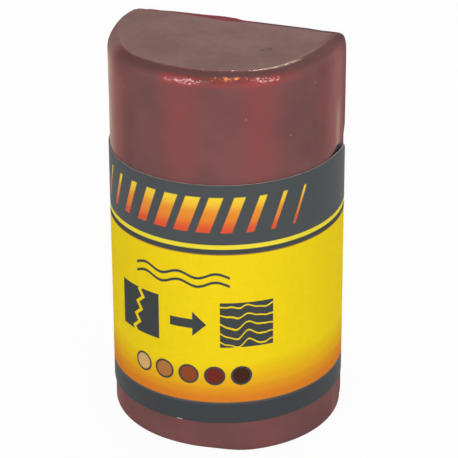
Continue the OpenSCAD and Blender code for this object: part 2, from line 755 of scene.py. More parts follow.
    def gap_shadow(self, bench: Bench, around: Socket, z: Socket) -> Socket:
        """Mask the painted shadow in the hollow over the label at the right corner.

        Args:
            bench: The material's bench.
            around: The angle round the bar, 0 to 1 from back to back.
            z: The height in millimetres.

        Returns:
            The mask.
        """
        turn = bench.math("MULTIPLY_ADD", around, 360.0, -180.0)
        rise = bench.math("MULTIPLY_ADD", turn, *self.gap_rise)
        fall = bench.math("MULTIPLY_ADD", turn, *self.gap_fall)
        over = bench.math("SUBTRACT", z, bench.math("MINIMUM", rise, fall))
        return bench.math("MULTIPLY", bench.fade(over, -0.08, 0.06, 1.0, 0.0),
                          bench.fade(z, 30.0, 31.0))

    def scratches(self, bench: Bench, effects: Effects, around: Socket, z: Socket) -> Socket:
        """Mask the short scratches under the shoulder.

        Args:
            bench: The material's bench.
            effects: The shared node groups.
            around: The angle round the bar, 0 to 1 from back to back.
            z: The height in millimetres.

        Returns:
            The mask.
        """
        turn = bench.math("MULTIPLY_ADD", around, 360.0, -180.0)
        wave = bench.math("MULTIPLY", bench.math("SINE", bench.math("MULTIPLY", turn, 0.9)), 0.1)
        masks = []
        for level, middle, half in self.scratch_lines:
            line = bench.group(effects.stripe, Value=bench.math("ADD", z, wave), Centre=level,
                               Half_width=0.05, Softness=0.05)
            reach = bench.group(effects.stripe, Value=turn, Centre=middle, Half_width=half,
                                Softness=1.0)
            masks.append(bench.math("MULTIPLY", line, reach))
        return bench.math("MAXIMUM", *masks)

    def material(self, effects: Effects) -> bpy.types.Material:
        """Build the wax material.

        Args:
            effects: The shared node groups.

        Returns:
            The material.
        """
        material, bench, shader = new_material("cast_wax")
        place = bench.object_mm()
        x, y, z = bench.split(place)
        angle = bench.math("ARCTAN2", x, bench.math("MULTIPLY", y, -1.0))
        around = bench.math("MULTIPLY_ADD", angle, 0.5 / math.pi, 0.5)
        cut = bench.node("ShaderNodeAttribute", attribute_name="cut_top").outputs["Fac"]
        broad = bench.noise(place, 0.22, 2.0, 0.5)
        grain = bench.group(effects.grain, Vector=place, Fine_share=0.6)
        grazing = bench.node("ShaderNodeLayerWeight").outputs["Facing"]
        scratch = self.scratches(bench, effects, around, z)
        side = bench.mix(bench.math("MULTIPLY", scratch, 0.6),
                         self.side(bench, around, z, broad, grain, grazing), self.scratch)
        # Painted shadow in the hollow between label and wax, shown where seen from the side.
        gap = bench.math("MULTIPLY", self.gap_shadow(bench, around, z),
                         bench.fade(grazing, 0.2, 0.5))
        side = bench.mix(gap, side, self.shadow)
        top_tone = self.cut_face(bench, around, x, y, broad, grain)
        dusty = bench.math("MULTIPLY", self.profile(bench, around, self.dusty_line),
                           bench.fade(z, *self.dusty_span))
        brim = bench.math("MULTIPLY", self.profile(bench, around, self.brim_line),
                          bench.fade(z, *self.brim_span))
        dusty = bench.math("MAXIMUM", dusty, brim)
        colour = bench.mix(bench.math("MAXIMUM", cut, dusty), side, top_tone)
        reach = bench.math("MULTIPLY", bench.fade(x, -7.0, -1.0, 0.0, 0.5),
                           bench.fade(x, 0.0, 1.3, 1.0, 0.0))
        edge = bench.math("MULTIPLY",
                          bench.fade(bench.math("ADD", y, reach), *self.lip_depth),
                          bench.fade(z, *self.lip_span))
        edge = bench.math("MULTIPLY", edge, bench.fade(x, -10.0, -4.0, 0.4, 0.85))
        # Towards the right the back lip takes the painted shade tone of the band under the rim.
        lip = bench.mix(bench.fade(x, 0.5, 3.0), self.lip, self.brow)
        colour = bench.mix(edge, colour, lip)
        bench.feed(shader.inputs["Base Color"], colour)
        bench.feed(shader.inputs["Roughness"], bench.fade(grain, 0.2, 0.8, 0.55, 0.75))
        shader.inputs["Specular IOR Level"].default_value = 0.02
        shader.inputs["Subsurface Weight"].default_value = 0.06
        shader.inputs["Subsurface Radius"].default_value = (1.0, 0.35, 0.25)
        shader.inputs["Subsurface Scale"].default_value = 0.8 * MM
        relief = bench.math("SUBTRACT", grain, scratch)
        raise_bump(bench, shader, relief, 0.02 * MM)
        self.polish(bench, shader, angle, z, cut)
        return material

    def cut_face(self, bench: Bench, around: Socket, x: Socket, y: Socket, broad: Socket,
                 grain: Socket) -> Socket:
        """Colour the dusty cut top, with a painted highlight along its rim and painted shade at
        its right tip.

        Args:
            bench: The material's bench.
            around: The angle round the bar, 0 to 1 from back to back.
            x: Millimetres to the right.
            y: Millimetres to the back.
            broad: A broad, soft noise.
            grain: A fine grain.

        Returns:
            The colour.
        """
        mottle = bench.math("ADD", bench.math("MULTIPLY", broad, 0.5),
                          bench.math("MULTIPLY", grain, 0.5))
        mottle = bench.math("SUBTRACT", mottle, bench.fade(y, 0.5, 3.2, 0.0, 0.06))
        colour = bench.mix(bench.fade(mottle, 0.38, 0.62), self.top, self.top_worn)
        # Painted highlight along the cap's outer ring.
        near = bench.node("ShaderNodeAttribute", attribute_name="rim_edge").outputs["Fac"]
        angle_mask = bench.math("MULTIPLY", near, self.profile(bench, around, self.rim_line))
        colour = bench.mix(angle_mask, colour, self.rim_highlight)
        # Painted shade: the cap's right tip darkens to the tone of the band under the rim.
        colour = bench.mix(bench.fade(x, *self.tip_span, 0.0, self.tip_level), colour, self.brow)
        for place, size, level in self.stains:
            away = bench.node("ShaderNodeVectorMath", operation="DISTANCE")
            bench.feed(away.inputs[0], bench.combine(x, y))
            away.inputs[1].default_value = (*place, 0.0)
            ragged = bench.math("MULTIPLY_ADD", grain, -1.2 * size, away.outputs["Value"])
            spot = bench.fade(ragged, -0.3 * size, 0.5 * size, level, 0.0)
            colour = bench.mix(spot, colour, self.stain)
        return colour

    def polish(self, bench: Bench, shader: bpy.types.Node, angle: Socket, z: Socket,
               cut: Socket) -> None:
        """Give the handled shoulder a gloss that small ripples break up.

        Args:
            bench: The material's bench.
            shader: The Principled BSDF.
            angle: The angle round the bar in radians.
            z: The height in millimetres.
            cut: The mask of the cut top.
        """
        start, full, wane, end = map(math.radians, self.gloss_angles)
        angle_mask = bench.math("MULTIPLY", bench.fade(angle, start, full),
                            bench.fade(angle, wane, end, 1.0, 0.0))
        around = bench.combine(bench.math("MULTIPLY", angle, self.arc_radius),
                               bench.math("MULTIPLY", z, 1.4))
        flecks = bench.fade(bench.noise(around, 3.6, 1.0, 0.5), 0.46, 0.56, 0.05, 1.0)
        start, full, wane, end = map(math.radians, self.middle_angles)
        middle = bench.math("MULTIPLY", bench.fade(angle, start, full),
                            bench.fade(angle, wane, end, self.middle_level, 0.0))
        flecks = bench.math("MAXIMUM", flecks, middle)
        rim = bench.fade(z, *self.rim_span)
        gloss = bench.math("MAXIMUM", rim, bench.math(
            "MULTIPLY", bench.fade(z, *self.gloss_rise),
            bench.math("MULTIPLY", bench.fade(z, *self.gloss_fall, 1.0, 0.0), flecks)))
        gloss = bench.math("MULTIPLY", gloss, angle_mask)
        bench.feed(shader.inputs["Coat Weight"],
                   bench.math("MULTIPLY", gloss, bench.math("SUBTRACT", 1.0, cut, clamp=True)))
        shader.inputs["Coat Roughness"].default_value = 0.16
        ripple = bench.node("ShaderNodeBump")
        ripple.inputs["Strength"].default_value = 1.0
        ripple.inputs["Distance"].default_value = 0.05 * MM
        bench.feed(ripple.inputs["Height"], bench.noise(around, 1.7, 1.0, 0.5))
        bench.feed(shader.inputs["Coat Normal"], ripple.outputs[0])


@dataclass(frozen=True)
class PrintFinish:
    """Print on a paper label: dark bands, a yellow field that warms to orange, plain marks."""

    slate: Shade = shade(68, 72, 74)
    foot_slate: Shade = shade(54, 58, 61)
    # Painted highlight along the top edge of the foot band.
    slate_highlight: Shade = shade(104, 108, 108)
    line: Shade = shade(236, 218, 62)
    orange_steps: tuple[tuple[float, Shade], ...] = (
        (0.0, shade(238, 208, 26)), (0.25, shade(233, 193, 28)), (0.5, shade(229, 172, 31)),
        (0.7, shade(224, 150, 36)), (0.9, shade(219, 128, 40)))
    brown: Shade = shade(150, 106, 60)
    ink: Shade = shade(66, 70, 70)
    bar_top: Shade = shade(240, 206, 50)
    bar_middle: Shade = shade(229, 138, 42)
    bar_foot: Shade = shade(218, 80, 44)
    woods: tuple[Shade, ...] = (shade(214, 170, 112), shade(176, 116, 62), shade(140, 74, 40),
                                shade(112, 44, 38), shade(66, 40, 30))
    paper: Shade = shade(200, 194, 184)
    nick_place: float = -1.1
    foot_band: float = 2.43
    head_band: float = 6.9
    line_width: float = 0.53
    rule_width: float = 0.62
    picture_level: float = 11.9
    board_half: tuple[float, float] = (2.9, 2.7)
    board_offset: float = 6.4
    bar_pitch: float = 1.25
    bar_lean: float = -0.36
    bar_reach: float = 13.0
    bar_halves: tuple[float, float] = (0.82, 0.16)
    bar_half_height: float = 2.05
    wave_level: float = 17.25
    wave_gap: float = 0.5
    wave_reach: float = 5.6
    swatch_pitch: float = 2.9
    swatch_level: float = 5.7
    swatch_radius: float = 1.05

    def bands(self, bench: Bench, effects: Effects, across: Socket, up: Socket,
              height: float) -> Socket:
        """Lay down the field, its warm foot, the bands and the lines, with a painted highlight
        under the foot band's top edge.

        Args:
            bench: The material's bench.
            effects: The shared node groups.
            across: Millimetres along the strip from the front.
            up: Millimetres up the strip.
            height: The strip's height in millimetres.

        Returns:
            The colour.
        """
        away = bench.math("ABSOLUTE", bench.math("ADD", across, 1.5))
        reach = bench.fade(away, 2.0, 12.0, 4.5, 5.3)
        over = bench.math("SUBTRACT", up, self.foot_band)
        warmth = bench.math("SUBTRACT", 1.0, bench.math("DIVIDE", over, reach), clamp=True)
        colour = bench.ramp(warmth, self.orange_steps)
        head = height - self.head_band
        rule = head - self.line_width - self.rule_width
        colour = bench.mix(bench.fade(up, rule - 0.16, rule + 0.04), colour, self.brown)
        colour = bench.mix(bench.fade(up, rule - 0.04, rule + 0.14), colour, self.slate)
        thin = bench.group(effects.stripe, Value=up, Centre=head - self.line_width * 0.5,
                           Half_width=self.line_width * 0.5, Softness=0.05)
        colour = bench.mix(thin, colour, self.line)
        colour = bench.mix(bench.fade(up, head - 0.05, head + 0.05), colour, self.slate)
        # Painted highlight: the foot band lightens just under its top edge.
        foot = bench.mix(bench.fade(up, self.foot_band - 0.4, self.foot_band - 0.1, 0.0, 0.3),
                         self.foot_slate, self.slate_highlight)
        return bench.mix(bench.fade(up, self.foot_band - 0.07, self.foot_band + 0.07, 1.0, 0.0),
                         colour, foot)

    def bars(self, bench: Bench, effects: Effects, across: Socket, up: Socket,
             height: float, colour: Socket) -> Socket:
        """Print a row of slanted bars on the dark head band.

        Args:
            bench: The material's bench.
            effects: The shared node groups.
            across: Millimetres along the strip from the front.
            up: Millimetres up the strip.
            height: The strip's height in millimetres.
            colour: The print so far.

        Returns:
            The colour with the bars on it.
        """
        middle = height - self.head_band * 0.5
        lean = bench.math("MULTIPLY", bench.math("SUBTRACT", up, middle), self.bar_lean)
        slant = bench.math("ADD", across, lean)
        turn = bench.math("PINGPONG", slant, self.bar_pitch)
        far = bench.math("ABSOLUTE", slant)
        half = bench.fade(far, 0.0, self.bar_reach, *self.bar_halves)
        stroke = bench.group(effects.stripe, Value=turn, Centre=0.0, Half_width=half,
                             Softness=0.07)
        tall = bench.group(effects.stripe, Value=up, Centre=middle,
                           Half_width=self.bar_half_height, Softness=0.06)
        wide = bench.fade(far, self.bar_reach - 0.1, self.bar_reach, 1.0, 0.0)
        mask = bench.math("MULTIPLY", bench.math("MULTIPLY", stroke, tall), wide)
        rise = bench.math("MULTIPLY_ADD", bench.math("SUBTRACT", up, middle), 0.24, 0.5)
        tone = bench.ramp(rise, ((0.05, self.bar_foot), (0.5, self.bar_middle),
                                 (0.95, self.bar_top)))
        return bench.mix(mask, colour, tone)

    def board(self, bench: Bench, effects: Effects, across: Socket, up: Socket,
              centre: float) -> Socket:
        """Mask one upright board of the picture row.

        Args:
            bench: The material's bench.
            effects: The shared node groups.
            across: Millimetres along the strip from the front.
            up: Millimetres up the strip.
            centre: Where the board's middle is along the strip.

        Returns:
            The mask.
        """
        wide = bench.group(effects.stripe, Value=across, Centre=centre,
                           Half_width=self.board_half[0], Softness=0.05)
        tall = bench.group(effects.stripe, Value=up, Centre=self.picture_level,
                           Half_width=self.board_half[1], Softness=0.05)
        return bench.math("MULTIPLY", wide, tall)

    def pictures(self, bench: Bench, effects: Effects, across: Socket, up: Socket,
                 colour: Socket) -> Socket:
        """Print the picture row: a cracked board, an arrow and a sound board.

        Args:
            bench: The material's bench.
            effects: The shared node groups.
            across: Millimetres along the strip from the front.
            up: Millimetres up the strip.
            colour: The print so far.

        Returns:
            The colour with the picture row on it.
        """
        over = bench.math("SUBTRACT", up, self.picture_level)
        tooth = bench.math("MULTIPLY_ADD", bench.math("PINGPONG", up, 0.8), 0.95,
                           -0.4 - self.board_offset)
        crack = bench.group(effects.stripe, Value=bench.math("SUBTRACT", across, tooth),
                            Centre=bench.math("MULTIPLY", over, 0.2), Half_width=0.26,
                            Softness=0.05)
        cracked = bench.math("SUBTRACT",
                             self.board(bench, effects, across, up, -self.board_offset), crack,
                             clamp=True)
        place = bench.combine(bench.math("MULTIPLY", across, 0.35), bench.math(
            "MULTIPLY", up, 0.12))
        sway = bench.math("MULTIPLY", bench.noise(place, 1.2, 1.0, 0.4), 2.6)
        rings = bench.math("PINGPONG", bench.math("ADD", up, sway), 0.55)
        vein = bench.group(effects.stripe, Value=rings, Centre=0.0, Half_width=0.09,
                           Softness=0.05)
        sound = bench.math("SUBTRACT",
                           self.board(bench, effects, across, up, self.board_offset), vein,
                           clamp=True)
        shaft = bench.math("MULTIPLY",
                           bench.group(effects.stripe, Value=across, Centre=-0.75,
                                       Half_width=1.35, Softness=0.04),
                           bench.group(effects.stripe, Value=over, Centre=0.0, Half_width=0.55,
                                       Softness=0.04))
        slope = bench.math("MULTIPLY_ADD", across, -0.95, 1.95)
        barb = bench.math("MULTIPLY",
                          bench.fade(bench.math("SUBTRACT", bench.math("ABSOLUTE", over), slope),
                                     -0.05, 0.05, 1.0, 0.0),
                          bench.fade(across, 0.45, 0.55))
        wave = bench.math("MULTIPLY", bench.math("SINE", bench.math("MULTIPLY", across, 1.5)), 0.3)
        waved = bench.math("ADD", up, wave)
        swell = bench.math("PINGPONG",
                           bench.math("SUBTRACT", waved, self.wave_level - self.wave_gap),
                           self.wave_gap)
        grain_lines = bench.math(
            "MULTIPLY",
            bench.group(effects.stripe, Value=swell, Centre=0.0, Half_width=0.16, Softness=0.05),
            bench.math("MULTIPLY",
                       bench.group(effects.stripe, Value=waved, Centre=self.wave_level,
                                   Half_width=0.8, Softness=0.02),
                       bench.group(effects.stripe, Value=across, Centre=-1.0,
                                   Half_width=self.wave_reach, Softness=0.05)))
        marks = bench.math("MAXIMUM", bench.math("MAXIMUM", cracked, sound),
                           bench.math("MAXIMUM", bench.math("MAXIMUM", shaft, barb),
                                      grain_lines))
        return bench.mix(marks, colour, self.ink)

    def swatches(self, bench: Bench, effects: Effects, across: Socket, up: Socket,
                 colour: Socket) -> Socket:
        """Print a row of five round wood-tone swatches under the boards.

        Args:
            bench: The material's bench.
            effects: The shared node groups.
            across: Millimetres along the strip from the front.
            up: Millimetres up the strip.
            colour: The print so far.

        Returns:
            The colour with the swatches on it.
        """
        pitch, count = self.swatch_pitch, len(self.woods)
        reach = 0.5 * pitch * count
        shifted = bench.math("ADD", across, reach)
        cell = bench.math("DIVIDE", shifted, pitch)
        number = bench.math("FLOOR", cell)
        local = bench.math("MULTIPLY", bench.math("SUBTRACT", bench.math("FRACT", cell), 0.5),
                           pitch)
        over = bench.math("SUBTRACT", up, self.swatch_level)
        gap = bench.math("SQRT", bench.math("ADD", bench.math("MULTIPLY", local, local),
                                            bench.math("MULTIPLY", over, over)))
        row = bench.group(effects.stripe, Value=across, Centre=0.0, Half_width=reach,
                          Softness=0.02)
        tone = bench.ramp(bench.math("DIVIDE", bench.math("ADD", number, 0.5), count),
                          tuple((index / count, wood) for index, wood in enumerate(self.woods)),
                          step=True)
        disc = bench.math("MULTIPLY", bench.fade(gap, self.swatch_radius - 0.1,
                                                 self.swatch_radius, 1.0, 0.0), row)
        ring = bench.math("MULTIPLY",
                          bench.group(effects.stripe, Value=gap, Centre=self.swatch_radius,
                                      Half_width=0.12, Softness=0.05), row)
        return bench.mix(ring, bench.mix(disc, colour, tone), self.ink)

    def material(self, effects: Effects, run: float, front: float,
                 height: float) -> bpy.types.Material:
        """Build the print material.

        Args:
            effects: The shared node groups.
            run: The strip's length in millimetres.
            front: Where along it the front of the bar is, in millimetres.
            height: The strip's height in millimetres.

        Returns:
            The material.
        """
        material, bench, shader = new_material("label_print")
        flat = bench.node("ShaderNodeUVMap", uv_map="flat_strip")
        mapping = bench.node("ShaderNodeMapping")
        mapping.inputs["Scale"].default_value = (run, height, 1.0)
        mapping.inputs["Location"].default_value = (-front, 0.0, 0.0)
        bench.feed(mapping.inputs["Vector"], flat.outputs[0])
        place = mapping.outputs[0]
        across, up, _ = bench.split(place)
        colour = self.bands(bench, effects, across, up, height)
        colour = self.bars(bench, effects, across, up, height, colour)
        colour = self.pictures(bench, effects, across, up, colour)
        colour = self.swatches(bench, effects, across, up, colour)
        grain = bench.group(effects.grain, Vector=place, Fine_share=0.7)
        tone = bench.fade(grain, 0.2, 0.8, 0.94, 1.06)
        toned = bench.node("ShaderNodeVectorMath", operation="SCALE")
        bench.feed(toned.inputs[0], colour)
        bench.feed(toned.inputs["Scale"], tone)
        specks = bench.group(effects.dust, Vector=place, Spacing=2.2, Size=0.05)
        nick = bench.math("MULTIPLY",
                          bench.group(effects.stripe, Value=across, Centre=self.nick_place,
                                      Half_width=0.3, Softness=0.12),
                          bench.fade(up, 0.05, 0.14, 0.9, 0.0))
        bare = bench.math("MAXIMUM", bench.math("MULTIPLY", specks, 0.2), nick)
        colour = bench.mix(bare, toned.outputs[0], self.paper)
        bench.feed(shader.inputs["Base Color"], colour)
        bench.feed(shader.inputs["Roughness"], bench.fade(grain, 0.2, 0.8, 0.6, 0.8))
        shader.inputs["Specular IOR Level"].default_value = 0.02
        head = height - self.head_band
        dark = bench.math("MAXIMUM", bench.fade(up, head - 0.05, head + 0.05),
                          bench.fade(up, self.foot_band - 0.07, self.foot_band + 0.07, 1.0, 0.0))
        bench.feed(shader.inputs["Coat Weight"], bench.math("MULTIPLY", dark, 0.42))
        shader.inputs["Coat Roughness"].default_value = 0.5
        raise_bump(bench, shader, grain, 0.012 * MM, 0.6)
        return material


@dataclass(frozen=True)
class PaperFinish:
    """The cut edge of the paper: white core with a little fibre, mottled darker by grime and by
    painted shade.
    """

    core: Shade = shade(190, 184, 176)
    # Darker mottle of the edge: grime, and painted shade of the dark line between label and wax.
    mottle: Shade = shade(112, 104, 100)

    def material(self, effects: Effects) -> bpy.types.Material:
        """Build the paper edge material.

        Args:
            effects: The shared node groups.

        Returns:
            The material.
        """
        material, bench, shader = new_material("paper_core")
        place = bench.object_mm()
        grain = bench.group(effects.grain, Vector=place, Fine_share=0.5)
        # Partly painted shade: the cut edge is mottled darker.
        bench.feed(shader.inputs["Base Color"],
                   bench.mix(bench.fade(grain, 0.4, 0.75), self.core, self.mottle))
        bench.feed(shader.inputs["Roughness"], bench.fade(grain, 0.2, 0.8, 0.7, 0.9))
        shader.inputs["Specular IOR Level"].default_value = 0.2
        raise_bump(bench, shader, grain, 0.01 * MM)
        return material


@dataclass(frozen=True)
class GumFinish:
    """Pressure-sensitive gum: pale amber, a little glossy, with thin and thick areas."""

    thin: Shade = shade(196, 180, 132)
    thick: Shade = shade(158, 130, 76)

    def material(self, effects: Effects) -> bpy.types.Material:
        """Build the gum material.

        Args:
            effects: The shared node groups.

        Returns:
            The material.
        """
        material, bench, shader = new_material("label_gum")
        place = bench.object_mm()
        grain = bench.group(effects.grain, Vector=place, Fine_share=0.3)
        bench.feed(shader.inputs["Base Color"],
                   bench.mix(bench.fade(grain, 0.3, 0.7), self.thin, self.thick))
        bench.feed(shader.inputs["Roughness"], bench.fade(grain, 0.2, 0.8, 0.25, 0.4))
        raise_bump(bench, shader, grain, 0.01 * MM)
        return material


@dataclass
class WaxBar:
    """The cast bar: a half-round prism with rolled ends, rounded corners and a cut top."""

    radius: float = 12.7 * MM
    flat_y: float = 4.55 * MM
    height: float = 44.8 * MM
    corner_round: float = 1.2 * MM
    top_round: float = 1.95 * MM
    base_round: float = 0.6 * MM
    front_steps: int = 340
    corner_steps: int = 8
    back_cuts: int = 40
    side_rows: int = 84
    shoulder_steps: int = 10
    shoulder_end: float = 52.0
    burr_round: float = 0.08 * MM
    burr_end: float = 100.0
    burr_drop: float = 0.02 * MM
    cap_scales: tuple[float, ...] = (0.995, 0.96, 0.9, 0.87, 0.84, 0.8, 0.72, 0.5)
    cap_middle: tuple[float, float, float] = (0.0, -0.003, 0.0)
    cut_drop: float = 0.1 * MM
    rim_line: tuple[tuple[float, float], ...] = (
        (-112.0, 0.0), (-95.0, 0.0), (-75.0, 0.25), (-58.0, 0.36), (-45.0, 0.16), (-37.0, 0.18),
        (-20.0, 0.57), (-5.0, 0.79), (10.0, 0.86), (21.0, 0.78), (33.0, 0.48), (42.0, 0.54),
        (58.0, 0.94), (70.0, 1.0), (80.0, 0.97), (90.0, 0.78), (100.0, 0.38), (112.0, 0.0))
    corner_push: tuple[float, float] = (0.2 * MM, 0.1 * MM)
    corner_sag: float = 0.16 * MM
    corner_edge: float = 0.25 * MM
    lip_line: tuple[tuple[float, float], ...] = (
        (-12.2, -0.85), (-11.7, -0.4), (-10.9, -0.5), (-9.9, -0.13), (-8.8, -0.33), (-7.7, -0.3),
        (-4.6, -0.17), (-1.4, 0.1), (-0.3, 0.0), (0.7, -0.5), (2.0, -0.45), (8.0, -0.45),
        (9.5, -0.7), (11.2, -0.75), (11.9, -0.2))
    lip_rise: float = 0.3 * MM
    base_line: tuple[tuple[float, float], ...] = (
        (-115.0, 0.0), (-58.0, 0.62), (-6.0, 0.7), (8.0, 0.64), (32.0, 0.0))
    base_lift: float = 0.56 * MM
    unevenness: float = 0.08 * MM
    dent_depth: float = 0.2 * MM
    dent_angles: tuple[float, float, float, float] = (74.0, 92.0, 104.0, 116.0)
    dent_heights: tuple[float, float, float, float] = (30.5, 31.8, 32.6, 34.0)
    right_spread: tuple[float, float] = (0.6 * MM, 2.4 * MM)
    left_spread: tuple[float, float] = (1.0 * MM, 4.0 * MM)
    base_reach: tuple[float, float] = (6 * MM, 12 * MM)
    base_fade: float = 2.5 * MM
    base_end: float = 88.0
    crisp_angle: float = 32.0

    @property
    def shoulder_foot(self) -> float:
        """How high the rolled shoulder starts."""
        turn = math.radians(self.shoulder_end)
        burr = self.burr_round * (1.0 - math.sin(turn))
        return self.height - self.cut_drop - self.top_round * math.sin(turn) - burr

    def rolled(self, height: float) -> float:
        """Tell how far in the shoulder has rolled at a height, as a share of its whole.

        Args:
            height: The height of a point on the shoulder.

        Returns:
            A number from 0 at its foot to 1 at the rim.
        """
        sine = (height - self.shoulder_foot) / self.top_round
        end = math.sin(math.radians(self.shoulder_end))
        part = 1.0 - math.sqrt(1.0 - min(end, max(0.0, sine)) ** 2)
        return part / (1.0 - math.sqrt(1.0 - end * end))

    def corner_centre(self, hand: Hand) -> tuple[float, float]:
        """Find the centre of a rounded back corner.

        Args:
            hand: Which corner.

        Returns:
            Its X and Y.
        """
        y = self.flat_y - self.corner_round
        return hand.value * math.sqrt((self.radius - self.corner_round) ** 2 - y * y), y

    def outline(self) -> bpy.types.Object:
        """Model the outline as a filled face at the top of the base round.

        Returns:
            The piece, one face so far.
        """
        clear_selection()
        bpy.ops.mesh.primitive_circle_add(vertices=self.front_steps, radius=self.radius,
                                          fill_type="NOTHING",
                                          location=(0.0, 0.0, self.base_round))
        bar = name_new_piece("wax_bar_cast")
        reach = self.radius / (self.radius - self.corner_round)
        join_y = self.corner_centre(Hand.RIGHT)[1] * reach
        with editing(bar):
            bpy.ops.mesh.select_all(action="SELECT")
            bpy.ops.mesh.bisect(plane_co=(0.0, join_y, 0.0), plane_no=(0.0, 1.0, 0.0),
                                clear_outer=True, threshold=1e-7)
            for hand in Hand:
                x, y = self.corner_centre(hand)
                pick(bar, Element.VERTEX,
                     lambda v: abs(v.co.y - join_y) < TOUCH and v.co.x * hand.value > 0)
                bpy.ops.mesh.spin(steps=self.corner_steps, axis=(0.0, 0.0, 1.0),
                                  angle=-hand.value * (math.pi / 2 - math.atan2(y, abs(x))),
                                  center=(x, y, self.base_round))
            pick(bar, Element.VERTEX, lambda v: abs(v.co.y - self.flat_y) < TOUCH)
            bpy.ops.mesh.edge_face_add()
            bpy.ops.mesh.select_mode(type="EDGE")
            bpy.ops.mesh.subdivide(number_cuts=self.back_cuts)
            bpy.ops.mesh.select_all(action="SELECT")
            bpy.ops.mesh.edge_face_add()
        return bar

    def roll_end(self, radius: float, start: float, end: float, steps: int) -> None:
        """Roll the selected end face over in small insets along a round.

        Args:
            radius: The radius of the round.
            start: Where on the round it starts, in degrees from upright.
            end: Where it stops.
            steps: How many insets it takes.
        """
        turns = [math.radians(start + (end - start) * step / steps) for step in range(steps + 1)]
        for turn, next_turn in zip(turns, turns[1:]):
            bpy.ops.mesh.inset(thickness=radius * (math.cos(turn) - math.cos(next_turn)),
                               depth=radius * (math.sin(next_turn) - math.sin(turn)),
                               use_even_offset=True)

    def fill_end(self, drop: float) -> None:
        """Lay rings of faces inside the selected end face, the first a little lower.

        Args:
            drop: How far the first ring goes down.
        """
        for scale in self.cap_scales:
            bpy.ops.mesh.extrude_region_move(
                TRANSFORM_OT_translate={"value": (0.0, 0.0, -drop)})
            bpy.ops.transform.resize(value=(scale, scale, 1.0), center_override=self.cap_middle)
            drop = 0.0

    def build(self) -> bpy.types.Object:
        """Model the bar.

        Returns:
            The finished mesh, without its material.
        """
        bar = self.outline()
        body = self.shoulder_foot - self.base_round
        with editing(bar):
            bpy.ops.mesh.select_mode(type="FACE")
            bpy.ops.mesh.select_all(action="SELECT")
            bpy.ops.mesh.extrude_region_move(TRANSFORM_OT_translate={"value": (0.0, 0.0, body)})
            bpy.ops.mesh.select_all(action="SELECT")
            bpy.ops.mesh.normals_make_consistent(inside=False)
            pick(bar, Element.FACE, lambda f: len(f.verts) > 4 and f.normal.z > 0.5)
            self.roll_end(self.top_round, 0.0, self.shoulder_end, self.shoulder_steps)
            self.roll_end(self.burr_round, self.shoulder_end, self.burr_end, 4)
            self.fill_end(self.burr_drop)
            pick(bar, Element.FACE, lambda f: len(f.verts) > 4 and f.normal.z < -0.5)
            self.roll_end(self.base_round, 0.0, self.base_end, self.shoulder_steps)
            self.fill_end(0.0)
            pick(bar, Element.EDGE,
                 lambda e: abs(e.verts[0].co.z - e.verts[1].co.z) > body * 0.9)
            bpy.ops.mesh.subdivide(number_cuts=self.side_rows)
            bpy.ops.mesh.select_all(action="SELECT")
            bpy.ops.mesh.remove_doubles(threshold=1e-7)
            bpy.ops.mesh.normals_make_consistent(inside=False)
        self.mark_top(bar)
        self.shape(bar)
        smooth(bar, self.crisp_angle)
        return bar

    def mark_top(self, bar: bpy.types.Object) -> None:
        """Mark the cut top face and its outermost ring in mesh attributes.

        Args:
            bar: The modelled bar.
        """
        turn = math.radians(self.burr_end)
        level = (self.height - self.cut_drop - self.burr_drop
                 - self.burr_round * (1.0 - math.sin(turn)))
        vertices = bar.data.vertices
        on_top = [abs(vertex.co.z - level) < TOUCH for vertex in vertices]
        outermost = [index for edge in bar.data.edges for index in edge.vertices
                     if on_top[index] and not all(on_top[end] for end in edge.vertices)]
        marks = {"cut_top": [index for index, on in enumerate(on_top) if on],
                 "rim_edge": outermost}
        for name, marked in marks.items():
            values = bar.data.attributes.new(name, "FLOAT", "POINT").data
            for index in marked:
                values[index].value = 1.0

    def shape(self, bar: bpy.types.Object) -> None:
        """Shift the cut rim, raise the back lip and make the cast sides uneven.

        Args:
            bar: The modelled bar.
        """
        brow = self.height - self.cut_drop
        foot = self.shoulder_foot
        self.draw_in(bar)
        for hand in Hand:
            x, y = self.corner_centre(hand)
            spread = self.right_spread if hand is Hand.RIGHT else self.left_spread
            corner = weigh(bar, f"corner_{hand.name.lower()}", lambda p: (
                ease(p.z, foot, brow - 0.3 * MM)
                * (1.0 - ease(math.hypot(p.x - x, p.y - y), *spread))))
            push(bar, corner, "X", self.corner_push[0] * hand.value)
            push(bar, corner, "Y", self.corner_push[1])
            if hand is Hand.RIGHT:
                edge = weigh(bar, "edge", self.edge_weight)
                push(bar, edge, "NORMAL", self.corner_edge)
            else:
                push(bar, corner, "Z", -self.corner_sag)
        for sign in (1.0, -1.0):
            lip = weigh(bar, f"lip_{sign:+.0f}", lambda p: (
                ease(p.z, foot + 0.5 * MM, brow - 0.15 * MM)
                * ease(p.y, self.flat_y - 1.5 * MM, self.flat_y - 1.0 * MM)
                * max(0.0, sign * read_table(self.lip_line, p.x / MM))))
            push(bar, lip, "Z", sign * self.lip_rise)
        base = weigh(bar, "base", lambda p: (1.0 - ease(p.z, 0.0, self.base_fade)) * ease(
            math.hypot(p.x, p.y), *self.base_reach) * read_table(
                self.base_line, math.degrees(math.atan2(p.x, -p.y))))
        push(bar, base, "Z", self.base_lift)
        side = weigh(bar, "side", lambda p: ease(p.z, 0.0, 3 * MM)
                     * (1.0 - ease(p.z, brow - 1.2 * MM, brow - 0.2 * MM)))
        push(bar, side, "NORMAL", self.unevenness, clouds("cast_unevenness", 7 * MM, 2), 0.7)
        dent = weigh(bar, "dent", self.dent_weight)
        push(bar, dent, "NORMAL", -self.dent_depth)
        bar.vertex_groups.clear()

    def draw_in(self, bar: bpy.types.Object) -> None:
        """Draw the cut rim in where the shoulder is wider.

        Args:
            bar: The modelled bar.
        """

